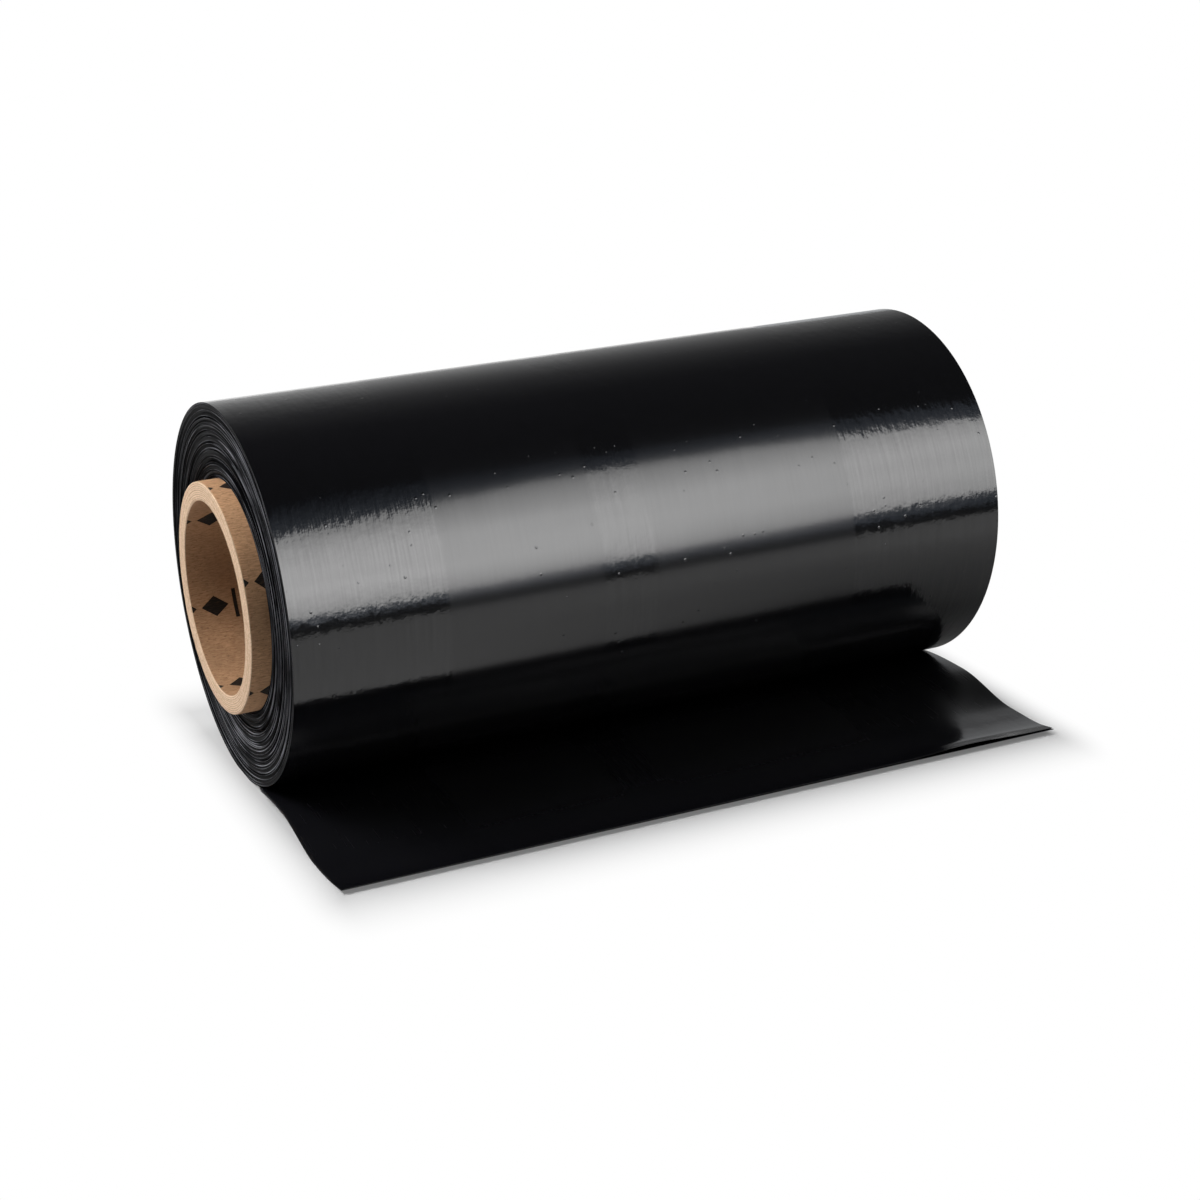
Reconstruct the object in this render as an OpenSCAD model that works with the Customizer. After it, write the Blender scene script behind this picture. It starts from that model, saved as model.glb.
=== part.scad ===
// Roll of black plastic sheeting, wound on a cardboard core. It lies on its side,
// and its loose end comes out from under the roll and lies in front of it.
// X runs along the roll, -Y is the side of the loose end, and Z is up.
// The origin is on the floor, under the middle of the roll's axis.

/* [Wound film] */
// Width of the film, along the roll
film_w = 305; // [200:1:600]
// Outside diameter of the wound film
roll_d = 150.8; // [125:0.2:200]
// Thickness of the film, which is wound doubled over
film_t = 0.3; // [0.2:0.05:0.6]
// Width of the strip that the roll's weight presses flat
flat_w = 15; // [13:0.5:20]

/* [Turns at the end faces] */
// Ridges that uneven turns make between the core and the lip
ridges = 20; // [10:1:26]
// Deepest groove between two ridges
groove_h = 0.9; // [0.3:0.1:1.4]
// How unevenly the turns lie, from 0 for even ones
uneven = 0.4; // [0:0.05:0.6]
// How far the end face dishes in from the lip to the core
dish_h = 1.1; // [0.2:0.1:3]
// Width of the lip of outermost turns
lip_w = 1.6; // [1:0.1:3]
// How far the lip stands out past the turns beside it
lip_h = 0.4; // [0.2:0.1:1]

/* [Loose end] */
// Angle round the roll, from its lowest line, at which the loose end leaves it
leave_angle = 14; // [10:0.5:18]
// Length of the loose end along the floor, from there to its tip
tail_len = 100; // [95:0.5:300]
// Distance from there to the crest of the hump in the loose end
crest_at = 36; // [25:0.5:45]
// Height of the hump
crest_h = 5.2; // [4:0.1:8]
// Distance from where it leaves the roll to where it lies on the floor again
land_at = 71; // [58:0.5:75]
// Length of the tip that curls up
curl_len = 16; // [8:0.5:18]
// Height that the tip curls up to
curl_h = 1.6; // [0.5:0.1:4]
// How far the lower ply runs out past the upper one at the tip
ply_step = 1.2; // [0.5:0.1:1.5]

/* [Cardboard core] */
// Inside diameter of the core
bore_d = 76.2; // [50:0.1:90]
// Wall of the core
core_wall = 7.5; // [4:0.1:10]
// How far the core sticks out of the film at each end
core_proud = 6.4; // [2:0.1:20]
// Size of the worn-off corner at the core's cut ends
edge_break = 0.5; // [0.2:0.1:1]

/* [Hidden] */
$fn = 180;

roll_r = roll_d / 2;
core_r = bore_d / 2;
core_out_r = core_r + core_wall;
core_len = film_w + 2 * core_proud;
lip_r = roll_r - film_t - lip_w;

// The flat strip is a chord of the outermost turn
axis_z = sqrt(pow(roll_r, 2) - pow(flat_w / 2, 2));
flat_angle = asin(flat_w / 2 / roll_r);

// Steps of the curves in the film's section
turn_steps = 176;
leave_steps = 3;
hump_steps = 9;
curl_steps = 5;

// Angles that scatter the depths and the places of the grooves
depth_scatter = 137;
place_scatter = 97;

// How far a cutting shape reaches past the face that it cuts
past = 1;

// A point of the section, at an angle that turns from straight down to the back
function rim(a, r) = [r * sin(a), axis_z - r * cos(a)];

// The outer face of the film winds inwards by its own thickness each turn
function turn_r(a) = roll_r - film_t * a / 360;

// A cubic from height z0 and slope m0 to height z1, lying level at its end
function cubic(u, z0, m0, z1) =
    z0 + m0 * u + (3 * (z1 - z0) - 2 * m0) * pow(u, 2) + (m0 - 2 * (z1 - z0)) * pow(u, 3);
function cubic_slope(u, z0, m0, z1) =
    m0 + 2 * (3 * (z1 - z0) - 2 * m0) * u + 3 * (m0 - 2 * (z1 - z0)) * pow(u, 2);

// Where the lower face of the loose end leaves the roll
leave = rim(-leave_angle, turn_r(-leave_angle));
curl_at = tail_len - curl_len;

// Height and slope of the loose end's lower face, at a distance s from where it leaves
function tail_z(s) =
    s < crest_at ? cubic(s / crest_at, leave[1], tan(leave_angle) * crest_at, crest_h)
    : s < land_at ? cubic((s - crest_at) / (land_at - crest_at), crest_h, 0, 0)
    : s < curl_at ? 0
    : curl_h * pow((s - curl_at) / curl_len, 2);
function tail_slope(s) =
    s < crest_at
    ? cubic_slope(s / crest_at, leave[1], tan(leave_angle) * crest_at, crest_h) / crest_at
    : s < land_at
    ? cubic_slope((s - crest_at) / (land_at - crest_at), crest_h, 0, 0) / (land_at - crest_at)
    : s < curl_at ? 0
    : 2 * curl_h * (s - curl_at) / pow(curl_len, 2);

// A point of the loose end, at a height above its lower face
function tail_point(s, above) =
    let (m = tail_slope(s))
    [leave[0] - s + above * m / sqrt(1 + m * m),
     tail_z(s) + above / sqrt(1 + m * m)];

// Distances at which the loose end has points, from where it leaves the roll to its tip
tail_stops = concat(
    [for (i = [1:hump_steps]) crest_at * i / hump_steps],
    [for (i = [1:hump_steps]) crest_at + (land_at - crest_at) * i / hump_steps],
    [for (i = [0:curl_steps - 1]) curl_at + curl_len * i / curl_steps]);
last_stop = len(tail_stops) - 1;

// The film's whole section: once round the roll, out along the loose end and back under it
section = concat(
    [[flat_w / 2, 0]],
    [for (i = [1:turn_steps])
        let (a = flat_angle + (360 - leave_angle - flat_angle) * i / turn_steps)
        rim(a, turn_r(a))],
    [for (s = tail_stops) tail_point(s, film_t)],
    [tail_point(tail_len - ply_step, film_t),
     tail_point(tail_len - ply_step, film_t / 2),
     tail_point(tail_len, film_t / 2),
     tail_point(tail_len, 0)],
    [for (i = [0:last_stop]) tail_point(tail_stops[last_stop - i], 0)],
    [for (i = [0:leave_steps - 1])
        let (a = -leave_angle + (leave_angle - flat_angle) * i / leave_steps)
        rim(a, turn_r(a))],
    [[-flat_w / 2, 0]]);

// Turns something from Z to the roll's axis
module on_axis() {
    translate([0, 0, axis_z])
        rotate([0, 90, 0])
            children();
}

// The turns lie unevenly, so each groove has its own depth and place
function groove_share(i) = 1 - uneven + uneven * sin(depth_scatter * i);
function ridge_place(i) = (i + uneven * sin(place_scatter * i)) / (2 * ridges);

// What is taken out of one end face to leave the ridges of its turns
module end_face_cut() {
    floor_points = [for (i = [0:2 * ridges])
        let (share = i == 0 ? 0 : i == 2 * ridges ? 1 : ridge_place(i))
        let (crest = lip_h + dish_h * (1 - share))
        [core_out_r + (lip_r - core_out_r) * share,
         -crest - (i % 2) * groove_h * groove_share(i)]];
    rotate_extrude()
        polygon(concat(
            [[core_out_r - past, past], [core_out_r - past, -lip_h - dish_h]],
            floor_points,
            [[lip_r, past]]));
}

// The wound film, with its turns and its loose end
module film_roll() {
    color("#17171a")
        difference() {
            rotate([90, 0, 90])
                linear_extrude(film_w, center = true)
                    polygon(section);
            on_axis()
                cylinder(r = core_out_r, h = film_w + 2 * past, center = true);
            on_axis()
                for (end = [0, 1])
                    mirror([0, 0, end])
                        translate([0, 0, film_w / 2])
                            end_face_cut();
        }
}

// The paper tube that the film is wound on
module cardboard_core() {
    color("#b3915f")
        on_axis()
            rotate_extrude()
                polygon([
                    [core_r, -core_len / 2 + edge_break],
                    [core_r + edge_break, -core_len / 2],
                    [core_out_r - edge_break, -core_len / 2],
                    [core_out_r, -core_len / 2 + edge_break],
                    [core_out_r, core_len / 2 - edge_break],
                    [core_out_r - edge_break, core_len / 2],
                    [core_r + edge_break, core_len / 2],
                    [core_r, core_len / 2 - edge_break]]);
}

cardboard_core();
film_roll();
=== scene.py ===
# %% [markdown]
# # A roll of black plastic sheeting
#
# The roll lies on its side on a white floor. Wide black film is wound round a paper
# tube, and the film's loose end comes out from under the roll and lies in front of it.
# So there are two pieces, the film and the tube. Black glossy film has hardly any
# colour of its own: its look comes from a clean shape, a good gloss and the lamps that
# it mirrors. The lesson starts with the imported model, which gives the sizes to keep.

# %% Load the frame
import math

import bpy
import numpy as np
from mathutils import Matrix, Vector


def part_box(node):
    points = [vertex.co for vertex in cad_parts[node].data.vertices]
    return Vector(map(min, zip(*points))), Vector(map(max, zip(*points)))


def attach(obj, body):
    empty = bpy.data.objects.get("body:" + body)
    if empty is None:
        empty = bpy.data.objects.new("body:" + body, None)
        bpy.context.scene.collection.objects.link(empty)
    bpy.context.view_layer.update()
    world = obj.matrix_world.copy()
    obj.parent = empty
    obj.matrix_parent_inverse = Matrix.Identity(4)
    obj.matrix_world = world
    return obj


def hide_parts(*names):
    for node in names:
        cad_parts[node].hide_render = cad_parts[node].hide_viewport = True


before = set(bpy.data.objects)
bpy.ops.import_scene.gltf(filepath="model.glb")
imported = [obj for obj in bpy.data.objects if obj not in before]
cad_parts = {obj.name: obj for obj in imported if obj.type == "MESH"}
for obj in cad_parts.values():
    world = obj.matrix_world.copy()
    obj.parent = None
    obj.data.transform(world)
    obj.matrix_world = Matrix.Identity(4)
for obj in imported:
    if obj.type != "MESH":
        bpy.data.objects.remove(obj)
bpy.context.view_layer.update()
film_low, film_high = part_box("film_roll")
core_low, core_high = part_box("cardboard_core")
print("film box, mm:", [round(1000 * v, 1) for v in (*film_low, *film_high)])
print("tube box, mm:", [round(1000 * v, 1) for v in (*core_low, *core_high)])

# %% [markdown]
# ## The camera
#
# A camera could be placed by eye, but then no edge of the picture can be trusted. Here
# its place and direction come from fitting the roll's two round ends and its tube to
# their outlines. It is a long lens, a little above the roll and to its left. It stands
# first, because each later step is judged through it.

# %% Place the camera
camera_data = bpy.data.cameras.new("camera")
camera = bpy.data.objects.new("camera", camera_data)
bpy.context.scene.collection.objects.link(camera)
bpy.context.scene.camera = camera
camera_data.sensor_width = 36.0
camera_data.lens = 69.79
camera_right = Vector((0.89956, -0.43644, -0.01773))
camera_up = Vector((0.16709, 0.30632, 0.93715))
camera_back = camera_right.cross(camera_up).normalized()
turn = Matrix((camera_right, camera_up, camera_back)).transposed().to_4x4()
camera.matrix_world = Matrix.Translation((-0.38679, -0.82354, 0.38428)) @ turn
print("camera height, mm:", round(1000 * camera.matrix_world.translation.z))

# %% [markdown]
# ## Sizes
#
# These are the sizes of the real roll, in metres. The film is 305 mm wide and is wound
# doubled over, so each turn adds 0.3 mm. The roll's weight presses a strip flat, and
# that sets how high the axis lies.

# %% Name the sizes
half_width = 0.1525
roll_radius = 0.0754
film_thickness = 0.0003
flat_width = 0.015
leave_angle = math.radians(14)
tail_length = 0.100
crest_at = 0.036
crest_height = 0.0052
land_at = 0.071
curl_length = 0.016
curl_height = 0.0016
bore_radius = 0.0381
tube_radius = 0.0456
tube_half_length = 0.1589
axis_height = math.sqrt(roll_radius**2 - (flat_width / 2) ** 2)
flat_angle = math.asin(flat_width / 2 / roll_radius)
print("axis height, mm:", round(1000 * axis_height, 2))


# %% [markdown]
# ## How the film lies
#
# The outermost turn is one sheet that goes once round the roll and then runs out along
# the floor. Wrapping a cylinder primitive would lose the loose end, so the film is
# drawn as a section, in the plane across the axis, and the section is repeated at
# stations along the roll. Because each station has a section of its own, the sheet can
# lie a little skewed, bulge at its left edge and open up between its two plies.

# %% A point round the roll
def smooth(t):
    t = np.clip(t, 0.0, 1.0)
    return t * t * (3 - 2 * t)


def round_roll(angle):
    """Outer face of the film, at an angle from straight down towards the back."""
    radius = roll_radius - film_thickness * angle / (2 * math.pi)
    return radius * np.sin(angle), axis_height - radius * np.cos(angle)


leave_y, leave_z = (float(v) for v in round_roll(-leave_angle))
print("the loose end leaves at, mm:", round(1000 * leave_y, 1), round(1000 * leave_z, 1))


# %% The loose end, seen from its side
def tail_height(s, across):
    """Height of the loose end's lower face at distance s from where it leaves the roll."""
    inner = smooth((0.995 - abs(across)) / 0.14)
    crest = crest_height * (1 - 0.55 * inner) + 0.0006 * smooth(-across) * (1 - smooth(s / land_at))
    up = s / crest_at
    slope = math.tan(leave_angle) * crest_at
    rise = (leave_z + slope * up + (3 * (crest - leave_z) - 2 * slope) * up**2
            + (slope - 2 * (crest - leave_z)) * up**3)
    down = np.clip((s - crest_at) / (land_at - crest_at), 0, 1)
    fall = crest * (1 - smooth(down))
    curl = np.clip((s - (tail_length - curl_length)) / curl_length, 0, None)
    ripple = 0.00022 * np.sin(9 * across + 70 * s) * smooth(s / 0.02) * (1 - smooth(down))
    return np.where(s < crest_at, rise, fall) + curl_height * curl**2 + ripple


def tail_point(s, above, across):
    """A point of the loose end, at a height above its lower face, as (y, z)."""
    step = 1e-5
    slope = (tail_height(s + step, across) - tail_height(s - step, across)) / (2 * step)
    lean = np.sqrt(1 + slope**2)
    return leave_y - s + above * slope / lean, tail_height(s, across) + above / lean


# %% The section at one station
arc_angles = np.linspace(flat_angle, 2 * math.pi - leave_angle, 210)
tail_steps = np.concatenate([np.linspace(0, crest_at, 15)[1:],
                             np.linspace(crest_at, land_at, 13)[1:],
                             np.linspace(land_at, tail_length - 0.012, 5)[1:]])
open_steps = np.linspace(tail_length - 0.012, tail_length, 6)[1:]
under_angles = np.linspace(-leave_angle, -flat_angle, 5)
flat_steps = np.linspace(-flat_width / 2, flat_width / 2, 5)[1:-1]


def section(across):
    """The film's outline at a station; across goes from -1 at the left to 1 at the right."""
    stretch = (tail_length - 0.0003 + 0.0016 * across) / tail_length
    upper_past = (-0.0008 * across - 0.0003) / tail_length
    gap = 0.00025 + 0.0011 * math.exp(-((across - 0.74) / 0.13) ** 2)
    opening = smooth((open_steps - open_steps[0]) / 0.009)
    top = tail_point(tail_steps * stretch, film_thickness, across)
    upper_s = open_steps * (stretch + upper_past * opening)
    upper_top = tail_point(upper_s, film_thickness + gap * opening, across)
    upper_low = tail_point(upper_s, film_thickness / 2 + gap * opening, across)
    lower_s = open_steps * stretch
    lower_top = tail_point(lower_s, film_thickness / 2, across)
    root = tail_point(tail_steps[-1:] * stretch, film_thickness / 2, across)
    low = tail_point(np.concatenate([tail_steps, open_steps]) * stretch, 0.0, across)
    parts = [
        round_roll(arc_angles),
        top,
        upper_top,
        [v[::-1] for v in upper_low],
        root,
        lower_top,
        [v[::-1] for v in low],
        round_roll(under_angles),
        (flat_steps, np.zeros_like(flat_steps)),
    ]
    return np.array([np.concatenate([part[i] for part in parts]) for i in (0, 1)]).T


names = ["arc", "top", "upper_top", "upper_low", "root", "lower_top", "low", "under", "flat"]
counts = [len(arc_angles), len(tail_steps), len(open_steps), len(open_steps), 1,
          len(open_steps), len(tail_steps) + len(open_steps), len(under_angles), len(flat_steps)]
starts = dict(zip(names, np.concatenate([[0], np.cumsum(counts)[:-1]])))
section_size = int(sum(counts))
print("points in a section:", section_size)

# %% [markdown]
# ## Relief in the wound film
#
# Wound film is never a perfect cylinder. Bands of slightly thicker film build up into
# soft rings round the roll, and the outermost turn has slack in places. The relief is
# only some hundredths of a millimetre, but a mirror shows slopes, not heights, so it
# bends the edges of every reflection. Waves with seeded phases give the same roll on
# every run.

# %% Waves for the relief
draw = np.random.default_rng(11)
waves = [(draw.uniform(20, 150), int(draw.integers(0, 7)), draw.uniform(0, 2 * math.pi))
         for _ in range(16)]


def relief(x, angle):
    """How far the film's face stands out of the true roll, in metres."""
    total = np.zeros(np.broadcast(x, angle).shape)
    for along, around, phase in waves:
        total = total + np.cos(along * x + around * angle + phase) / along
    return 0.00045 * total / math.sqrt(len(waves))


# %% [markdown]
# ## The film's turns at the two ends
#
# Each end of the roll shows the cut edges of some hundred turns. They shift a little
# against each other as the film is wound, so they stand as uneven rings, with a thin
# lip of outermost turns. A bump map would lie flat at the outline and vanish in the
# exported mesh, so the rings are real: circles of points, each at its own depth.

# %% The rings of an end face
ridges = 20
groove_depth = 0.0009
uneven = 0.4
dish = 0.0011
lip_radius = 0.0735
lip_height = 0.0004
gap_depth = 0.0032


def end_rings():
    """Radius and depth of each ring, from the lip inwards, and how near it is to a crest."""
    rings = [(roll_radius - 0.0004, 0.00003, 0.1), (roll_radius - 0.0007, 0.00001, 1.0),
             (roll_radius - 0.0011, 0.00007, 0.1), (roll_radius - 0.0014, 0.00002, 0.9),
             (lip_radius + 0.0002, 0.00005, 0.1), (lip_radius + 0.0001, 0.0, 1.0),
             (lip_radius, lip_height * 0.6, 0.5)]
    last = None
    for i in reversed(range(1, 2 * ridges)):
        share = (i + uneven * math.sin(math.radians(97 * i))) / (2 * ridges)
        shift = 1 - uneven + uneven * math.sin(math.radians(137 * i))
        depth = lip_height + dish * (1 - share) + (i % 2) * groove_depth * shift
        radius = tube_radius + (lip_radius - tube_radius) * share
        if last:
            for part in (0.35, 0.7):
                tooth = 0.00011 * math.sin(71 * (i + part))
                rings.append((last[0] + (radius - last[0]) * part,
                              last[1] + (depth - last[1]) * part + tooth,
                              last[2] + (1 - 2 * last[2]) * part))
        rings.append((radius, depth, 1 - i % 2))
        last = (radius, depth, 1 - i % 2)
    rings += [(tube_radius + 0.0005, lip_height + dish, 0.5), (tube_radius + 0.0004, gap_depth, 0.0),
              (tube_radius, gap_depth, 0.0)]
    return np.array(rings)


rings = end_rings()
print("rings on an end face:", len(rings))

# %% [markdown]
# ## Build the film as one closed mesh
#
# The side of the film is a grid: the section's points one way, the stations the other.
# At each end the part of the section that runs round the roll is joined to the rings,
# and the loose end gets its own thin edge. The innermost rings of the two ends are
# joined through the roll, along the tube, so that the mesh has no hole and can be
# written out as a solid.

# %% Place the grid of the film's side
stations = np.concatenate([
    -half_width + np.array([0, 0.0008, 0.002, 0.0035]),
    np.linspace(-half_width + 0.0055, half_width - 0.0055, 118),
    half_width - np.array([0.0035, 0.002, 0.0008, 0]),
])
grid = np.zeros((len(stations), section_size, 3))
winding = np.zeros((len(stations), section_size))
tail_first, tail_last = starts["top"], starts["under"]
for k, x in enumerate(stations):
    outline = section(x / half_width)
    grid[k, :, 0] = x
    grid[k, :, 1:] = outline
    steps = np.linalg.norm(np.diff(outline, axis=0), axis=1)
    winding[k, 1:] = np.cumsum(steps)
    face = slice(0, starts["top"])
    out = relief(x, arc_angles) * smooth((arc_angles - flat_angle) / 0.25)
    out = out * smooth((arc_angles[-1] - arc_angles) / 0.12)
    grid[k, face, 1] += out * np.sin(arc_angles)
    grid[k, face, 2] -= out * np.cos(arc_angles)
    edge = 1 - smooth((x + half_width) / 0.014)
    s = leave_y - outline[tail_first:tail_last, 0]
    run_out = 0.0017 * smooth(s / 0.012) * (1 - 0.5 * smooth((s - 0.075) / 0.022))
    lower = np.ones(len(s))
    lower[:starts["upper_low"] - tail_first] = 0.45
    lower[starts["upper_low"] - tail_first:starts["root"] - tail_first] = 0.35
    grid[k, tail_first:tail_last, 0] -= edge * run_out * lower
print("side grid:", grid.shape[:2], "points")


# %% Join the points into faces
def film_faces():
    """Faces of the side and the edges of the loose end."""
    rows, size = len(stations), section_size
    index = np.arange(rows * size).reshape(rows, size)
    faces, is_end = [], []
    for k in range(rows - 1):
        for i in range(size):
            j = (i + 1) % size
            faces.append((index[k, i], index[k, j], index[k + 1, j], index[k + 1, i]))
    is_end += [False] * len(faces)
    count = len(tail_steps)
    for k, flip in ((0, False), (rows - 1, True)):
        row = index[k]
        top = [row[starts["arc"] + len(arc_angles) - 1]]
        top += [row[starts["top"] + i] for i in range(count)]
        low_points = [row[starts["low"] + i] for i in range(count + len(open_steps))][::-1]
        low = [row[starts["under"]]] + low_points
        root = row[starts["root"]]
        edge = []
        for i in range(count):
            edge.append([top[i], low[i], low[i + 1], top[i + 1]])
        edge[-1] = [top[-2], low[count - 1], low[count], root, top[-1]]
        upper = [top[-1]] + [row[starts["upper_top"] + i] for i in range(len(open_steps))]
        under = [root] + [row[starts["root"] - 1 - i] for i in range(len(open_steps))]
        over = [root] + [row[starts["lower_top"] + i] for i in range(len(open_steps))]
        floor = low[count:]
        for i in range(len(open_steps)):
            edge.append([upper[i], under[i], under[i + 1], upper[i + 1]])
            edge.append([over[i], floor[i], floor[i + 1], over[i + 1]])
        for face in edge:
            faces.append(tuple(face[::-1] if flip else face))
            is_end.append(False)
    return faces, is_end


faces, is_end = film_faces()
points = [tuple(p) for p in grid.reshape(-1, 3)]
flat_coordinates = [(p[0], w) for p, w in zip(points, winding.reshape(-1))]
crests = [0.0] * len(points)
print("faces of the side:", len(faces))

# %% Add the ringed ends and the wall of the hole
loop = list(range(len(arc_angles))) + list(range(starts["under"], section_size))
loop_angles = np.concatenate([arc_angles, under_angles + 2 * math.pi,
                              2 * math.pi + np.arcsin(flat_steps / axis_height)])
loop_angles[len(arc_angles) - 1] -= 0.002
loop_angles[len(arc_angles)] += 0.002
wobble = draw.uniform(0, 2 * math.pi, (len(rings), 2))
innermost = []
for side, row in ((-1, 0), (1, len(stations) - 1)):
    before = [row * section_size + i for i in loop]
    for j, (radius, depth, crest) in enumerate(rings):
        inside = smooth((lip_radius - radius) / 0.004) * smooth((radius - tube_radius - 0.001) / 0.004)
        drift = 0.00035 * np.sin(loop_angles + 1.1) + 0.0002 * np.sin(3 * loop_angles + 2)
        own = 0.00006 * np.sin(2 * loop_angles + wobble[j, 0])
        r = radius + inside * (drift + own)
        deep = depth * (1 + 0.22 * inside * np.sin(loop_angles + wobble[j, 1]))
        ring = []
        for a, rr, dd in zip(loop_angles, r, deep):
            ring.append(len(points))
            y, z = rr * math.sin(a), axis_height - rr * math.cos(a)
            points.append((side * (half_width - dd), y, z))
            flat_coordinates.append((y, z))
            crests.append(crest)
        for i in range(len(loop)):
            n = (i + 1) % len(loop)
            face = (before[i], ring[i], ring[n], before[n])
            faces.append(face[::-1] if side < 0 else face)
            is_end.append(True)
        before = ring
    innermost.append(before)
for i in range(len(loop)):
    n = (i + 1) % len(loop)
    faces.append((innermost[0][i], innermost[1][i], innermost[1][n], innermost[0][n]))
    is_end.append(True)
print("faces in all:", len(faces))


# %% Make the film's mesh
def make_piece(name, points, faces, coordinates, sharp_degrees):
    """A smooth-shaded mesh object with a coordinate layer in metres."""
    mesh = bpy.data.meshes.new(name)
    mesh.from_pydata(points, [], [tuple(int(i) for i in f) for f in faces])
    layer = mesh.uv_layers.new(name="metres")
    corners = np.zeros(len(mesh.loops), int)
    mesh.loops.foreach_get("vertex_index", corners)
    layer.data.foreach_set("uv", np.array(coordinates)[corners].astype(np.float32).ravel())
    mesh.polygons.foreach_set("use_smooth", [True] * len(mesh.polygons))
    mesh.set_sharp_from_angle(angle=math.radians(sharp_degrees))
    mesh.validate()
    piece = bpy.data.objects.new(name, mesh)
    bpy.context.scene.collection.objects.link(piece)
    return piece


film = make_piece("wound_film", points, faces, flat_coordinates, 50)
film.data.polygons.foreach_set("material_index", [int(e) for e in is_end])
crest_layer = film.data.attributes.new("crest", "FLOAT", "POINT")
crest_layer.data.foreach_set("value", crests)
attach(film, "root")
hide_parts("film_roll")
triangles = sum(len(p.vertices) - 2 for p in film.data.polygons)
print("triangles in the film:", triangles)

# %% [markdown]
# ## The paper tube
#
# The tube is wound from strips of brown paper, glued ply on ply, and sawn to length, so
# its cut end is paler than its faces, shows the plies as fine rings and has slightly
# crushed corners. A lathe profile turned round the axis gives all of it, with a small
# step for each ply.

# %% Turn the tube
plies = 9
around = 160
profile = [(tube_half_length - 0.00095, tube_radius), (tube_half_length - 0.0005, tube_radius - 0.00004),
           (tube_half_length - 0.00016, tube_radius - 0.00022), (tube_half_length - 0.00003, tube_radius - 0.00055)]
wall = tube_radius - bore_radius
for i in range(1, plies):
    radius = tube_radius - 0.0003 - (wall - 0.0006) * i / plies
    rise = 0.00002 + 0.00007 * (i % 2)
    profile += [(tube_half_length - rise, radius + 0.00012),
                (tube_half_length - 0.0001 + rise, radius - 0.00012)]
profile += [(tube_half_length - 0.00003, bore_radius + 0.00055), (tube_half_length - 0.00016, bore_radius + 0.00022),
            (tube_half_length - 0.0005, bore_radius + 0.00004), (tube_half_length - 0.00095, bore_radius)]
inner = [(x, bore_radius) for x in np.linspace(tube_half_length - 0.02, -tube_half_length + 0.02, 14)]
outer = [(x, tube_radius) for x in (-tube_half_length + 0.012, 0.0, tube_half_length - 0.012)]
ring_line = profile + inner + [(-x, r) for x, r in reversed(profile)] + outer
tube_points, tube_faces, tube_coordinates = [], [], []
for k in range(around):
    a = 2 * math.pi * k / around
    fuzz = draw.normal(0, 0.00003, len(ring_line))
    for (x, r), f in zip(ring_line, fuzz):
        on_cut = abs(x) > tube_half_length - 0.0004
        tube_points.append((x + (f if on_cut else 0), r * math.sin(a), axis_height - r * math.cos(a)))
        tube_coordinates.append((x, a * tube_radius))
line_size = len(ring_line)
for k in range(around):
    for i in range(line_size):
        j, n = (i + 1) % line_size, (k + 1) % around
        tube_faces.append((k * line_size + i, k * line_size + j, n * line_size + j, n * line_size + i))
tube = make_piece("paper_tube", tube_points, tube_faces, tube_coordinates, 60)
on_cut = [int(abs(p.center.x) > tube_half_length - 0.0006) for p in tube.data.polygons]
tube.data.polygons.foreach_set("material_index", on_cut)
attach(tube, "root")
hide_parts("cardboard_core")
print("triangles in the tube:", sum(len(p.vertices) - 2 for p in tube.data.polygons))


# %% [markdown]
# ## A short way to write materials
#
# A material is a graph of nodes. Writing each node in full hides what the graph does,
# so one small helper makes a node, sets its fixed values and joins its inputs.

# %% Node helper
def new_material(name):
    material = bpy.data.materials.new(name)
    material.use_nodes = True
    material.node_tree.nodes.clear()
    return material, material.node_tree


def add(tree, kind, inputs=None, **settings):
    """Adds a node; an input is a fixed value or another node's output."""
    made = tree.nodes.new(kind)
    for key, value in settings.items():
        setattr(made, key, value)
    for key, value in (inputs or {}).items():
        if isinstance(value, bpy.types.NodeSocket):
            tree.links.new(value, made.inputs[key])
        else:
            made.inputs[key].default_value = value
    return made


def math_node(tree, operation, a, b=0.0, c=0.0):
    return add(tree, "ShaderNodeMath", {0: a, 1: b, 2: c}, operation=operation).outputs[0]


def stretched_noise(tree, source, scale, detail=2.0, rough=0.5):
    """Noise with its own number of cells per metre along each coordinate."""
    spread = add(tree, "ShaderNodeMapping", {"Vector": source, "Scale": scale})
    return add(tree, "ShaderNodeTexNoise", {"Vector": spread.outputs[0], "Scale": 1.0,
                                            "Detail": detail, "Roughness": rough}).outputs[0]


def remap(tree, value, low, high, to_low=0.0, to_high=1.0):
    made = add(tree, "ShaderNodeMapRange", {"Value": value, "From Min": low, "From Max": high,
                                            "To Min": to_low, "To Max": to_high})
    return made.outputs[0]


# %% [markdown]
# ## Black film
#
# Blown film shines, but it isn't a perfect mirror. Its surface carries fine streaks that
# run round the roll, drawn by the lips of the die, and wide bands where it is a little
# hazier than elsewhere: both margins and a strip in the middle. There are a few specks
# of unmelted resin as well. The streaks and bands follow the sheet, so they are drawn in
# its own coordinates, across the width and along its length, and go on unbroken from the
# roll to the loose end.

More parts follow.
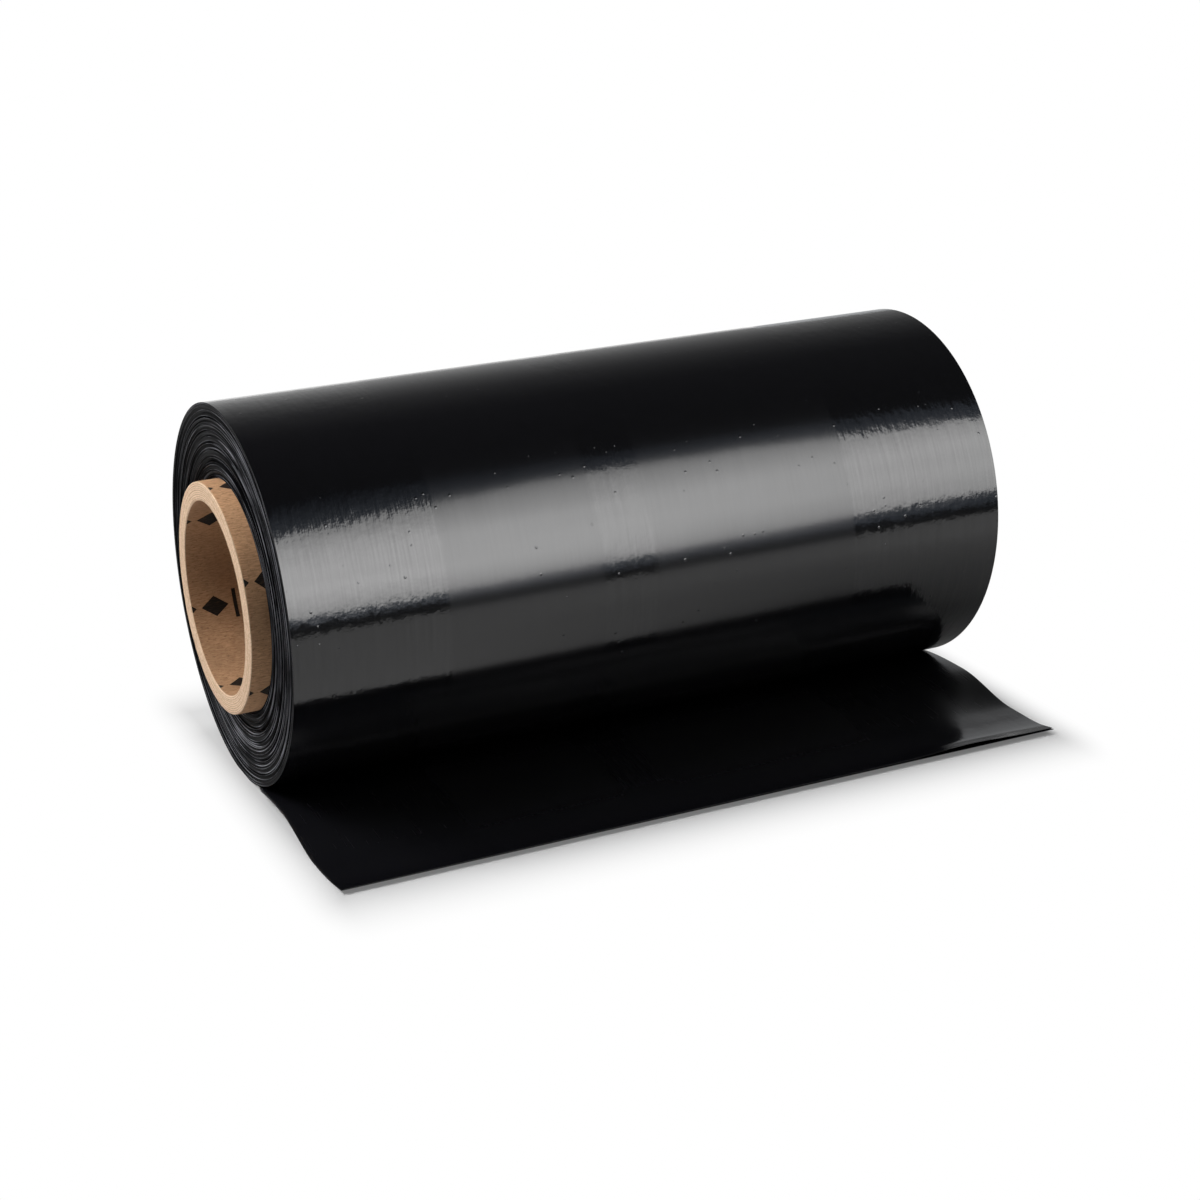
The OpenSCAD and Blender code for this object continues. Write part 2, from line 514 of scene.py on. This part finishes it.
# %% The film's material
film_material, tree = new_material("black_film")
sheet = add(tree, "ShaderNodeUVMap", uv_map="metres").outputs[0]
split = add(tree, "ShaderNodeSeparateXYZ", {0: sheet})
across, length_run = split.outputs[0], split.outputs[1]
waver = stretched_noise(tree, sheet, (0.0, 40.0, 1.0), detail=4, rough=0.7)
shifted = math_node(tree, "MULTIPLY_ADD", math_node(tree, "SUBTRACT", waver, 0.5), 0.006, across)
offset = math_node(tree, "ADD", shifted, 0.0035)
margins = remap(tree, math_node(tree, "ABSOLUTE", offset), 0.0868, 0.0878)
middle = remap(tree, math_node(tree, "ABSOLUTE", math_node(tree, "ADD", shifted, 0.016)), 0.0125, 0.0095)
grainy = math_node(tree, "MAXIMUM", margins, math_node(tree, "MULTIPLY", middle, 0.8))
fine = stretched_noise(tree, sheet, (1500.0, 30.0, 1.0), detail=2)
broad = stretched_noise(tree, sheet, (520.0, 75.0, 1.0), detail=2)
mottle = stretched_noise(tree, sheet, (210.0, 170.0, 1.0), detail=3, rough=0.6)
slack = stretched_noise(tree, sheet, (24.0, 9.0, 1.0), detail=2)
specks = add(tree, "ShaderNodeTexVoronoi", {"Vector": sheet, "Scale": 150.0}, feature="F1").outputs[0]
speck = remap(tree, specks, 0.09, 0.04)
streaks = math_node(tree, "MULTIPLY_ADD", fine, 0.000008, math_node(tree, "MULTIPLY", broad, 0.00006))
relief_height = math_node(tree, "MULTIPLY_ADD", mottle, 0.00010, streaks)
level_relief = math_node(tree, "SUBTRACT", relief_height, 0.000084)
masked = math_node(tree, "MULTIPLY", level_relief, remap(tree, grainy, 0, 1, 0.16, 1.0))
lumps = math_node(tree, "MULTIPLY_ADD", speck, 0.00007, masked)
run_off = (2 * math.pi - leave_angle - flat_angle) * roll_radius
wound = remap(tree, length_run, run_off, run_off + 0.02, 1.0, 0.3)
height = math_node(tree, "MULTIPLY_ADD", slack, 0.00030, math_node(tree, "MULTIPLY", lumps, wound))
bump = add(tree, "ShaderNodeBump", {"Height": height, "Strength": 1.0, "Distance": 1.0})
handled = math_node(tree, "MULTIPLY", remap(tree, length_run, run_off + 0.004, run_off + 0.030, 0.0, 0.15),
                    remap(tree, length_run, run_off + 0.066, run_off + 0.082, 1.0, 0.0))
haze = remap(tree, grainy, 0, 1, 0.17, 0.115)
roughness = math_node(tree, "MULTIPLY_ADD", math_node(tree, "SUBTRACT", fine, 0.5), 0.05,
                      math_node(tree, "ADD", haze, handled))
drawn = stretched_noise(tree, sheet, (1000.0, 28.0, 1.0), detail=3, rough=0.6)
shine = math_node(tree, "MULTIPLY_ADD", math_node(tree, "MAXIMUM", margins, math_node(tree, "MULTIPLY", middle, 0.5)),
                  remap(tree, drawn, 0.3, 0.7, 0.0, 0.12), remap(tree, drawn, 0.3, 0.7, 0.0, 0.08))
shine = math_node(tree, "MULTIPLY", shine, wound)
tint = add(tree, "ShaderNodeMix", {"Factor": mottle, 6: (0.0028, 0.0028, 0.0036, 1), 7: (0.0050, 0.0050, 0.0064, 1)},
           data_type="RGBA")
# The loose end's black is a little lighter, from where it leaves the roll.
lighter_loose_end = add(tree, "ShaderNodeMix", {"Factor": remap(tree, length_run, run_off, run_off + 0.03), 6: tint.outputs[2],
                                    7: (0.0062, 0.0062, 0.0078, 1)}, data_type="RGBA")
gloss = add(tree, "ShaderNodeBsdfPrincipled", {"Base Color": lighter_loose_end.outputs[2], "Roughness": roughness,
                                               "Normal": bump.outputs[0], "IOR": 1.5, "Coat Weight": shine,
                                               "Coat Roughness": 0.12, "Coat Normal": bump.outputs[0]})
add(tree, "ShaderNodeOutputMaterial", {"Surface": gloss.outputs[0]})
print("nodes in black_film:", len(tree.nodes))

# %% [markdown]
# ## Cut edges of the film
#
# At the roll's ends we look at the cut edges of the turns. A knife leaves them duller
# than the face of the film. Pale grey is painted on the crests of the rings and along
# some noise lines, as painted highlights, broken up in patches; towards the back they are
# painted darker and at the bottom paler, which is painted light as well. Fine rings, one
# a turn, come from noise that is stretched round the axis.

# %% The end faces' material
edge_material, tree = new_material("film_edges")
place = add(tree, "ShaderNodeUVMap", uv_map="metres").outputs[0]
centred = add(tree, "ShaderNodeVectorMath", {0: place, 1: (0.0, axis_height, 0.0)}, operation="SUBTRACT")
distance = add(tree, "ShaderNodeVectorMath", {0: centred.outputs[0]}, operation="LENGTH").outputs["Value"]
split = add(tree, "ShaderNodeSeparateXYZ", {0: centred.outputs[0]})
to_back = math_node(tree, "DIVIDE", split.outputs[0], distance)
to_top = math_node(tree, "DIVIDE", split.outputs[1], distance)
polar = add(tree, "ShaderNodeCombineXYZ", {0: distance, 1: to_back, 2: to_top})
turns = stretched_noise(tree, polar.outputs[0], (1500.0, 1.2, 1.2), detail=3)
highlight_patches = stretched_noise(tree, polar.outputs[0], (260.0, 3.0, 3.0), detail=4)
bump = add(tree, "ShaderNodeBump", {"Height": turns, "Strength": 1.0, "Distance": 0.0003})
crest = add(tree, "ShaderNodeAttribute", attribute_name="crest").outputs["Fac"]
# Painted highlights: pale grey on the ring crests and on bright noise lines, broken up in patches.
thin_lines = math_node(tree, "MAXIMUM", remap(tree, crest, 0.80, 1.0), remap(tree, turns, 0.58, 0.70, 0.0, 0.5))
painted_crest_highlight = math_node(tree, "MULTIPLY", thin_lines, remap(tree, highlight_patches, 0.38, 0.66, 0.08, 1.0))
# Painted light: the pale lines are darker towards the back and paler at the bottom.
painted_side_light = math_node(tree, "MULTIPLY", remap(tree, to_back, -0.1, 0.8, 1.0, 0.3), remap(tree, to_top, -0.9, -0.4, 1.7, 1.0))
painted_crest_highlight = math_node(tree, "MULTIPLY", painted_crest_highlight, painted_side_light)
colour = add(tree, "ShaderNodeMix", {"Factor": painted_crest_highlight, 6: (0.0015, 0.0015, 0.0020, 1),
                                     7: (0.340, 0.345, 0.380, 1)}, data_type="RGBA")
dull = add(tree, "ShaderNodeBsdfPrincipled", {"Base Color": colour.outputs[2], "Normal": bump.outputs[0],
                                              "Specular IOR Level": 0.02, "Roughness": 0.5})
add(tree, "ShaderNodeOutputMaterial", {"Surface": dull.outputs[0]})
film.data.materials.append(film_material)
film.data.materials.append(edge_material)
print("film materials:", [m.name for m in film.data.materials])

# %% [markdown]
# ## Brown paper
#
# The tube's faces are brown kraft paper: short fibres in two tones, darker flecks and a
# slightly uneven surface. The stock paper for such tubes often has a plain repeating
# mark printed on it. Here it is a row of plain lozenges, with short bars between rows,
# drawn by simple distance tests in the paper's own coordinates.

# %% The paper's material
paper_material, tree = new_material("brown_paper")
sheet = add(tree, "ShaderNodeUVMap", uv_map="metres").outputs[0]
fibres = stretched_noise(tree, sheet, (300.0, 1900.0, 1.0), detail=4, rough=0.65)
flecks = stretched_noise(tree, sheet, (700.0, 900.0, 1.0), detail=4, rough=0.65)
clouds = stretched_noise(tree, sheet, (45.0, 60.0, 1.0), detail=3)
paper = add(tree, "ShaderNodeMix", {"Factor": remap(tree, fibres, 0.36, 0.64),
                                    6: (0.40, 0.215, 0.108, 1), 7: (0.68, 0.400, 0.220, 1)}, data_type="RGBA")
paper = add(tree, "ShaderNodeMix", {"Factor": remap(tree, flecks, 0.54, 0.70, 0.0, 0.65), 6: paper.outputs[2],
                                    7: (0.14, 0.075, 0.040, 1)}, data_type="RGBA")
paper = add(tree, "ShaderNodeMix", {"Factor": remap(tree, clouds, 0.35, 0.7, 0.0, 0.35), 6: paper.outputs[2],
                                    7: (0.30, 0.175, 0.095, 1)}, data_type="RGBA")
spot = add(tree, "ShaderNodeTexCoord").outputs["Object"]
from_axis = add(tree, "ShaderNodeVectorMath", {0: spot, 1: (0.0, 0.0, axis_height)}, operation="SUBTRACT").outputs[0]
from_axis = add(tree, "ShaderNodeVectorMath", {0: from_axis, 1: (0.0, 1.0, 1.0)}, operation="MULTIPLY").outputs[0]
radius = add(tree, "ShaderNodeVectorMath", {0: from_axis}, operation="LENGTH").outputs["Value"]
# Painted shade: the paper inside the bore is mixed a little darker, as shade inside the tube.
painted_bore_shade = math_node(tree, "LESS_THAN", radius, (bore_radius + tube_radius) / 2)
paper = add(tree, "ShaderNodeMix", {"Factor": math_node(tree, "MULTIPLY", painted_bore_shade, 0.22), 6: paper.outputs[2],
                                    7: (0.08, 0.050, 0.032, 1)}, data_type="RGBA")
along, round_tube = (add(tree, "ShaderNodeSeparateXYZ", {0: sheet}).outputs[i] for i in (0, 1))
mark_pitch_along = 0.030
mark_pitch_round = 2 * math.pi * tube_radius / 6
column = math_node(tree, "DIVIDE", math_node(tree, "ADD", along, 0.4705), mark_pitch_along)
row = math_node(tree, "DIVIDE", math_node(tree, "ADD", round_tube, 0.020), mark_pitch_round)
local_x = math_node(tree, "MULTIPLY", math_node(tree, "SUBTRACT", math_node(tree, "FRACT", column), 0.5), mark_pitch_along)
local_y = math_node(tree, "MULTIPLY", math_node(tree, "SUBTRACT", math_node(tree, "FRACT", row), 0.5), mark_pitch_round)
across_x, across_y = (math_node(tree, "ABSOLUTE", v) for v in (local_x, local_y))
reach = math_node(tree, "ADD", math_node(tree, "DIVIDE", math_node(tree, "ABSOLUTE",
                  math_node(tree, "SUBTRACT", across_x, 0.0066)), 0.0056), math_node(tree, "DIVIDE", across_y, 0.0050))
lozenge = math_node(tree, "LESS_THAN", reach, 1.0)
bar_x = math_node(tree, "GREATER_THAN", across_x, mark_pitch_along / 2 - 0.0008)
bar_y = math_node(tree, "LESS_THAN", across_y, 0.0070)
mark = math_node(tree, "MAXIMUM", lozenge, math_node(tree, "MULTIPLY", bar_x, bar_y))
worn = math_node(tree, "MULTIPLY", mark, remap(tree, fibres, 0.25, 0.5, 0.86, 1.0))
inked = add(tree, "ShaderNodeMix", {"Factor": worn, 6: paper.outputs[2], 7: (0.010, 0.008, 0.007, 1)}, data_type="RGBA")
bump = add(tree, "ShaderNodeBump", {"Height": fibres, "Strength": 0.6, "Distance": 0.00012})
card = add(tree, "ShaderNodeBsdfPrincipled", {"Base Color": inked.outputs[2], "Roughness": 0.78,
                                              "Normal": bump.outputs[0], "Specular IOR Level": 0.3})
add(tree, "ShaderNodeOutputMaterial", {"Surface": card.outputs[0]})
print("nodes in brown_paper:", len(tree.nodes))

# %% [markdown]
# ## The sawn end of the tube
#
# The saw bares clean fibres inside the paper, which are paler than its faces. The plies
# show as rings, and dark glue lines lie between some of them.

# %% The sawn end's material
sawn_material, tree = new_material("sawn_paper")
spot = add(tree, "ShaderNodeTexCoord").outputs["Object"]
centred = add(tree, "ShaderNodeVectorMath", {0: spot, 1: (0.0, 0.0, axis_height)}, operation="SUBTRACT").outputs[0]
flat_spot = add(tree, "ShaderNodeVectorMath", {0: centred, 1: (0.0, 1.0, 1.0)}, operation="MULTIPLY").outputs[0]
distance = add(tree, "ShaderNodeVectorMath", {0: flat_spot}, operation="LENGTH").outputs["Value"]
drift = stretched_noise(tree, spot, (60.0, 60.0, 60.0), detail=2)
ply = math_node(tree, "DIVIDE", math_node(tree, "MULTIPLY_ADD", drift, 0.0006, distance), wall / plies)
line = remap(tree, math_node(tree, "ABSOLUTE", math_node(tree, "SUBTRACT", math_node(tree, "FRACT", ply), 0.5)), 0.30, 0.5)
fluff = stretched_noise(tree, spot, (1400.0, 1400.0, 1400.0), detail=4, rough=0.7)
pale = add(tree, "ShaderNodeMix", {"Factor": remap(tree, fluff, 0.35, 0.65),
                                   6: (0.64, 0.430, 0.275, 1), 7: (0.86, 0.650, 0.475, 1)}, data_type="RGBA")
glued = add(tree, "ShaderNodeMix", {"Factor": math_node(tree, "MULTIPLY", line, 0.75), 6: pale.outputs[2],
                                    7: (0.30, 0.18, 0.10, 1)}, data_type="RGBA")
bump = add(tree, "ShaderNodeBump", {"Height": fluff, "Strength": 0.8, "Distance": 0.00025})
sawn = add(tree, "ShaderNodeBsdfPrincipled", {"Base Color": glued.outputs[2], "Roughness": 0.9,
                                              "Normal": bump.outputs[0], "Specular IOR Level": 0.2})
add(tree, "ShaderNodeOutputMaterial", {"Surface": sawn.outputs[0]})
tube.data.materials.append(paper_material)
tube.data.materials.append(sawn_material)
print("tube materials:", [m.name for m in tube.data.materials])

# %% [markdown]
# ## Floor and surroundings
#
# The set is a white table, a lit white backdrop behind it and a dark room above. The
# room matters most: black film mirrors it, and without a dark ceiling the roll would
# turn grey. To the camera the backdrop is plain white, and so is the table, apart from a
# painted shadow: its white glow is weaker in a box round the roll, so the table is darker
# there, over the real shadow, and fades out a few centimetres away. Mirrors see the
# backdrop white, brightest low behind the roll and fading towards the ceiling, and the
# table with a painted shadow close to the roll and at its right end.

# %% The table
table_points = []
for k in range(64):
    a = 2 * math.pi * k / 64
    reach_x = math.copysign(abs(math.cos(a)) ** 0.4, math.cos(a))
    reach_y = math.copysign(abs(math.sin(a)) ** 0.4, math.sin(a))
    table_points.append((2.6 * reach_x, 1.78 + 2.33 * reach_y, -0.0002))
table_mesh = bpy.data.meshes.new("table")
table_mesh.from_pydata(table_points, [], [tuple(range(64))])
table = bpy.data.objects.new("table", table_mesh)
bpy.context.scene.collection.objects.link(table)
white_material, tree = new_material("white_table")
spot = add(tree, "ShaderNodeTexCoord").outputs["Object"]
grain = stretched_noise(tree, spot, (3.0, 3.0, 3.0), detail=2)
shade = add(tree, "ShaderNodeMix", {"Factor": grain, 6: (0.63, 0.63, 0.63, 1), 7: (0.65, 0.65, 0.65, 1)},
            data_type="RGBA")
matt = add(tree, "ShaderNodeBsdfDiffuse", {"Color": shade.outputs[2]})
glow = add(tree, "ShaderNodeEmission", {"Color": (1, 1, 1, 1), "Strength": 1.0})
# Painted shadow: the white glow is weaker in a box round the roll, so the table is darker there, over the real shadow,
# fading out within a few centimetres.
low_corner = (film_low[0] - 0.001, film_low[1])
high_corner = (film_high[0] - 0.0016, film_high[1] - 0.005)
middle = tuple((a + b) / 2 for a, b in zip(low_corner, high_corner))
half_size = tuple((b - a) / 2 for a, b in zip(low_corner, high_corner))
shadow_reach = (0.018, 0.037)
offset = add(tree, "ShaderNodeVectorMath", {0: spot, 1: (*middle, 0.0)}, operation="SUBTRACT")
size = add(tree, "ShaderNodeVectorMath", {0: offset.outputs[0]}, operation="ABSOLUTE")
beyond = add(tree, "ShaderNodeVectorMath", {0: size.outputs[0], 1: (*half_size, 0.0)}, operation="SUBTRACT")
outside = add(tree, "ShaderNodeVectorMath", {0: beyond.outputs[0], 1: (0.0, 0.0, 0.0)}, operation="MAXIMUM")
scaled = add(tree, "ShaderNodeVectorMath", {0: outside.outputs[0], 1: (*shadow_reach, 1.0)}, operation="DIVIDE")
away = add(tree, "ShaderNodeVectorMath", {0: scaled.outputs[0]}, operation="LENGTH").outputs["Value"]
painted_shadow_nearness = math_node(tree, "POWER", remap(tree, away, 0.0, 1.0, 1.0, 0.0), 1.8)
share = math_node(tree, "MULTIPLY_ADD", painted_shadow_nearness, -0.85, 1.0)
# Painted shadow in mirrors: the table's glow is taken away near the contact line and near the roll's right end.
from_end = add(tree, "ShaderNodeVectorMath", {0: spot, 1: (0.165, -0.05, 0.0)}, operation="DISTANCE").outputs["Value"]
depth_at = add(tree, "ShaderNodeSeparateXYZ", {0: spot}).outputs[1]
from_contact = math_node(tree, "ABSOLUTE", depth_at)
mirror_painted_shadow_share = math_node(tree, "MULTIPLY", remap(tree, from_end, 0.09, 0.25, 0.0, 0.97),
                         remap(tree, from_contact, 0.0, 0.115, 0.10, 1.0))
path = add(tree, "ShaderNodeLightPath")
mirrored = math_node(tree, "MAXIMUM", path.outputs["Is Glossy Ray"], path.outputs["Is Transmission Ray"])
seen = math_node(tree, "MULTIPLY_ADD", mirrored, mirror_painted_shadow_share,
                 math_node(tree, "MULTIPLY", path.outputs["Is Camera Ray"], share))
both = add(tree, "ShaderNodeMixShader", {0: seen, 1: matt.outputs[0], 2: glow.outputs[0]})
add(tree, "ShaderNodeOutputMaterial", {"Surface": both.outputs[0]})
table_mesh.materials.append(white_material)

# %% The world
world = bpy.data.worlds.new("studio")
bpy.context.scene.world = world
world.use_nodes = True
tree = world.node_tree
tree.nodes.clear()
direction = add(tree, "ShaderNodeTexCoord").outputs["Generated"]
hot_spot = Vector((math.sin(math.radians(190)), -math.cos(math.radians(190)), 0.0))
aim = add(tree, "ShaderNodeVectorMath", {0: direction, 1: hot_spot}, operation="DOT_PRODUCT").outputs["Value"]
fade = add(tree, "ShaderNodeValToRGB", {0: aim})
stops = ((0.35, 0.0), (0.47, 0.03), (0.63, 0.10), (0.75, 0.23), (0.87, 0.46), (1.0, 0.95))
ramp = fade.color_ramp.elements
ramp.remove(ramp[1])
ramp[0].position = stops[0][0]
ramp[0].color = (0, 0, 0, 1)
for at, level in stops[1:]:
    ramp.new(at).color = (level, level, level, 1)
print("backdrop ramp:", [(round(e.position, 2), round(e.color[0], 2)) for e in ramp])
path = add(tree, "ShaderNodeLightPath")
mirrored = math_node(tree, "MAXIMUM", path.outputs["Is Glossy Ray"], path.outputs["Is Transmission Ray"])
seen = math_node(tree, "MULTIPLY_ADD", mirrored, fade.outputs[0], path.outputs["Is Camera Ray"])
room_level = math_node(tree, "MULTIPLY_ADD", path.outputs["Is Diffuse Ray"], 0.037, 0.048)
room = add(tree, "ShaderNodeBackground", {"Color": (0.96, 0.98, 1.0, 1), "Strength": room_level})
backdrop = add(tree, "ShaderNodeBackground", {"Color": (1, 1, 1, 1), "Strength": 1.0})
mixed = add(tree, "ShaderNodeMixShader", {0: seen, 1: room.outputs[0], 2: backdrop.outputs[0]})
add(tree, "ShaderNodeOutputWorld", {"Surface": mixed.outputs[0]})

# %% [markdown]
# ## Lamps
#
# A large softbox stands in front, to the right, and leans as it hangs from its boom. It
# makes the long pale band on the roll, and the band's edges are the softbox's own edges,
# so its corners are set as directions seen from the roll. A smaller one, behind and to
# the left, lights the sawn end of the tube. Both are flat panels that only the object
# and the floor can see.


# %% The softboxes
def towards(azimuth, elevation):
    """A direction seen from the roll: azimuth from the front towards the right, in degrees."""
    a, e = math.radians(azimuth), math.radians(elevation)
    return Vector((math.sin(a) * math.cos(e), -math.cos(a) * math.cos(e), math.sin(e)))


def softbox(name, centre, distance, corners, level, top=1.0, bottom=1.0, mirrored=True, lights=True,
            right=1.0, colour=(1, 1, 1, 1)):
    """A flat lit panel; the centre and the corners are (azimuth, elevation) in degrees."""
    facing = towards(*centre)
    start = Vector((0, 0, axis_height))
    panel_points = [start + towards(*c) * (distance / towards(*c).dot(facing)) for c in corners]
    mesh = bpy.data.meshes.new(name)
    mesh.from_pydata([tuple(p) for p in panel_points], [], [tuple(range(len(corners)))])
    panel = bpy.data.objects.new(name, mesh)
    bpy.context.scene.collection.objects.link(panel)
    panel.visible_camera = False
    panel.visible_glossy = mirrored
    panel.visible_diffuse = lights
    material, tree = new_material(name + "_cloth")
    split = add(tree, "ShaderNodeSeparateXYZ", {0: add(tree, "ShaderNodeTexCoord").outputs["Object"]})
    along, height = split.outputs[0], split.outputs[2]
    low, high = min(p.z for p in panel_points), max(p.z for p in panel_points)
    tall = high - low
    rise = remap(tree, height, low, low + 0.3 * tall, level * bottom, level)
    fall = remap(tree, height, low + 0.55 * tall, high, 1.0, top)
    cloth = stretched_noise(tree, add(tree, "ShaderNodeTexCoord").outputs["Object"], (3.0, 3.0, 3.0), detail=5, rough=0.7)
    even = math_node(tree, "MULTIPLY", math_node(tree, "MULTIPLY", rise, fall),
                     remap(tree, along, 0.45, 1.1, 1.0, right))
    strength = math_node(tree, "MULTIPLY", even, remap(tree, cloth, 0.3, 0.7, 0.88, 1.12))
    lit = add(tree, "ShaderNodeEmission", {"Color": colour, "Strength": strength})
    add(tree, "ShaderNodeOutputMaterial", {"Surface": lit.outputs[0]})
    mesh.materials.append(material)
    print(name, "is", round(sum(p.area for p in mesh.polygons), 2), "square metres")
    return panel


def block(azimuth, elevation, half_wide, half_tall):
    return [(azimuth + i * half_wide, elevation + j * half_tall) for i, j in ((-1, -1), (1, -1), (1, 1), (-1, 1))]


front_corners = ((0, 0), (10, 0.5), (38, 3.5), (60, 10), (61, 28), (49, 39.5), (42, 49), (33, 52), (15, 47), (2, 42))
softbox("front_softbox", (33, 24), 1.3, front_corners, 7.9, top=0.40, bottom=0.66, right=0.66, lights=False)
wall_corners = ((-9, -2), (75, -2), (75, 34), (60, 43), (45, 60), (30, 66), (10, 57), (-9, 46))
softbox("blue_wall", (33, 30), 1.5, wall_corners, 0.80, top=0.0, right=0.6, lights=False, colour=(0.80, 0.92, 1.12, 1))
softbox("left_softbox", (-106, 46), 1.3, block(-106, 46, 22, 14), 11.0, mirrored=False)
softbox("back_softbox", (178, 60), 1.2, block(178, 60, 34, 8), 7.0, mirrored=False)
softbox("right_fill", (75, 32), 1.3, block(75, 32, 20, 12), 0.9, mirrored=False)

# %% Cards that only mirrors see
def card(name, corners, level, from_below=False):
    """A flat card, which lights nothing and shadows nothing; it may show from below only."""
    mesh = bpy.data.meshes.new(name)
    mesh.from_pydata(corners, [], [(0, 1, 2, 3)])
    made = bpy.data.objects.new(name, mesh)
    bpy.context.scene.collection.objects.link(made)
    made.visible_camera = False
    made.visible_diffuse = False
    made.visible_shadow = False
    material, tree = new_material(name + "_face")
    face = add(tree, "ShaderNodeEmission", {"Color": (0.96, 0.98, 1.0, 1), "Strength": level})
    if from_below:
        clear = add(tree, "ShaderNodeBsdfTransparent")
        back = add(tree, "ShaderNodeNewGeometry").outputs["Backfacing"]
        face = add(tree, "ShaderNodeMixShader", {0: back, 1: clear.outputs[0], 2: face.outputs[0]})
    add(tree, "ShaderNodeOutputMaterial", {"Surface": face.outputs[0]})
    mesh.materials.append(material)
    print(name, "reaches from, mm:", [round(1000 * v) for v in corners[0]], "to", [round(1000 * v) for v in corners[2]])


def upright(x_low, x_high, y, z_low, z_high):
    return [(x_low, y, z_low), (x_high, y, z_low), (x_high, y, z_high), (x_low, y, z_high)]


def level_card(x_low, x_high, y_low, y_high, z):
    return [(x_low, y_low, z), (x_high, y_low, z), (x_high, y_high, z), (x_low, y_high, z)]


card("white_card", upright(0.19, 0.50, 0.20, 0.05, 0.16), 0.6)
card("black_flag", upright(-0.30, 0.30, -0.045, 0.140, 0.50), 0.046)
card("front_flag", level_card(-0.40, 0.90, -0.90, -0.128, 0.045), 0.05, from_below=True)

# %% [markdown]
# ## Colour
#
# The view transform is plain, so a colour renders as it is written.

# %% Finish
bpy.context.scene.view_settings.view_transform = "Standard"
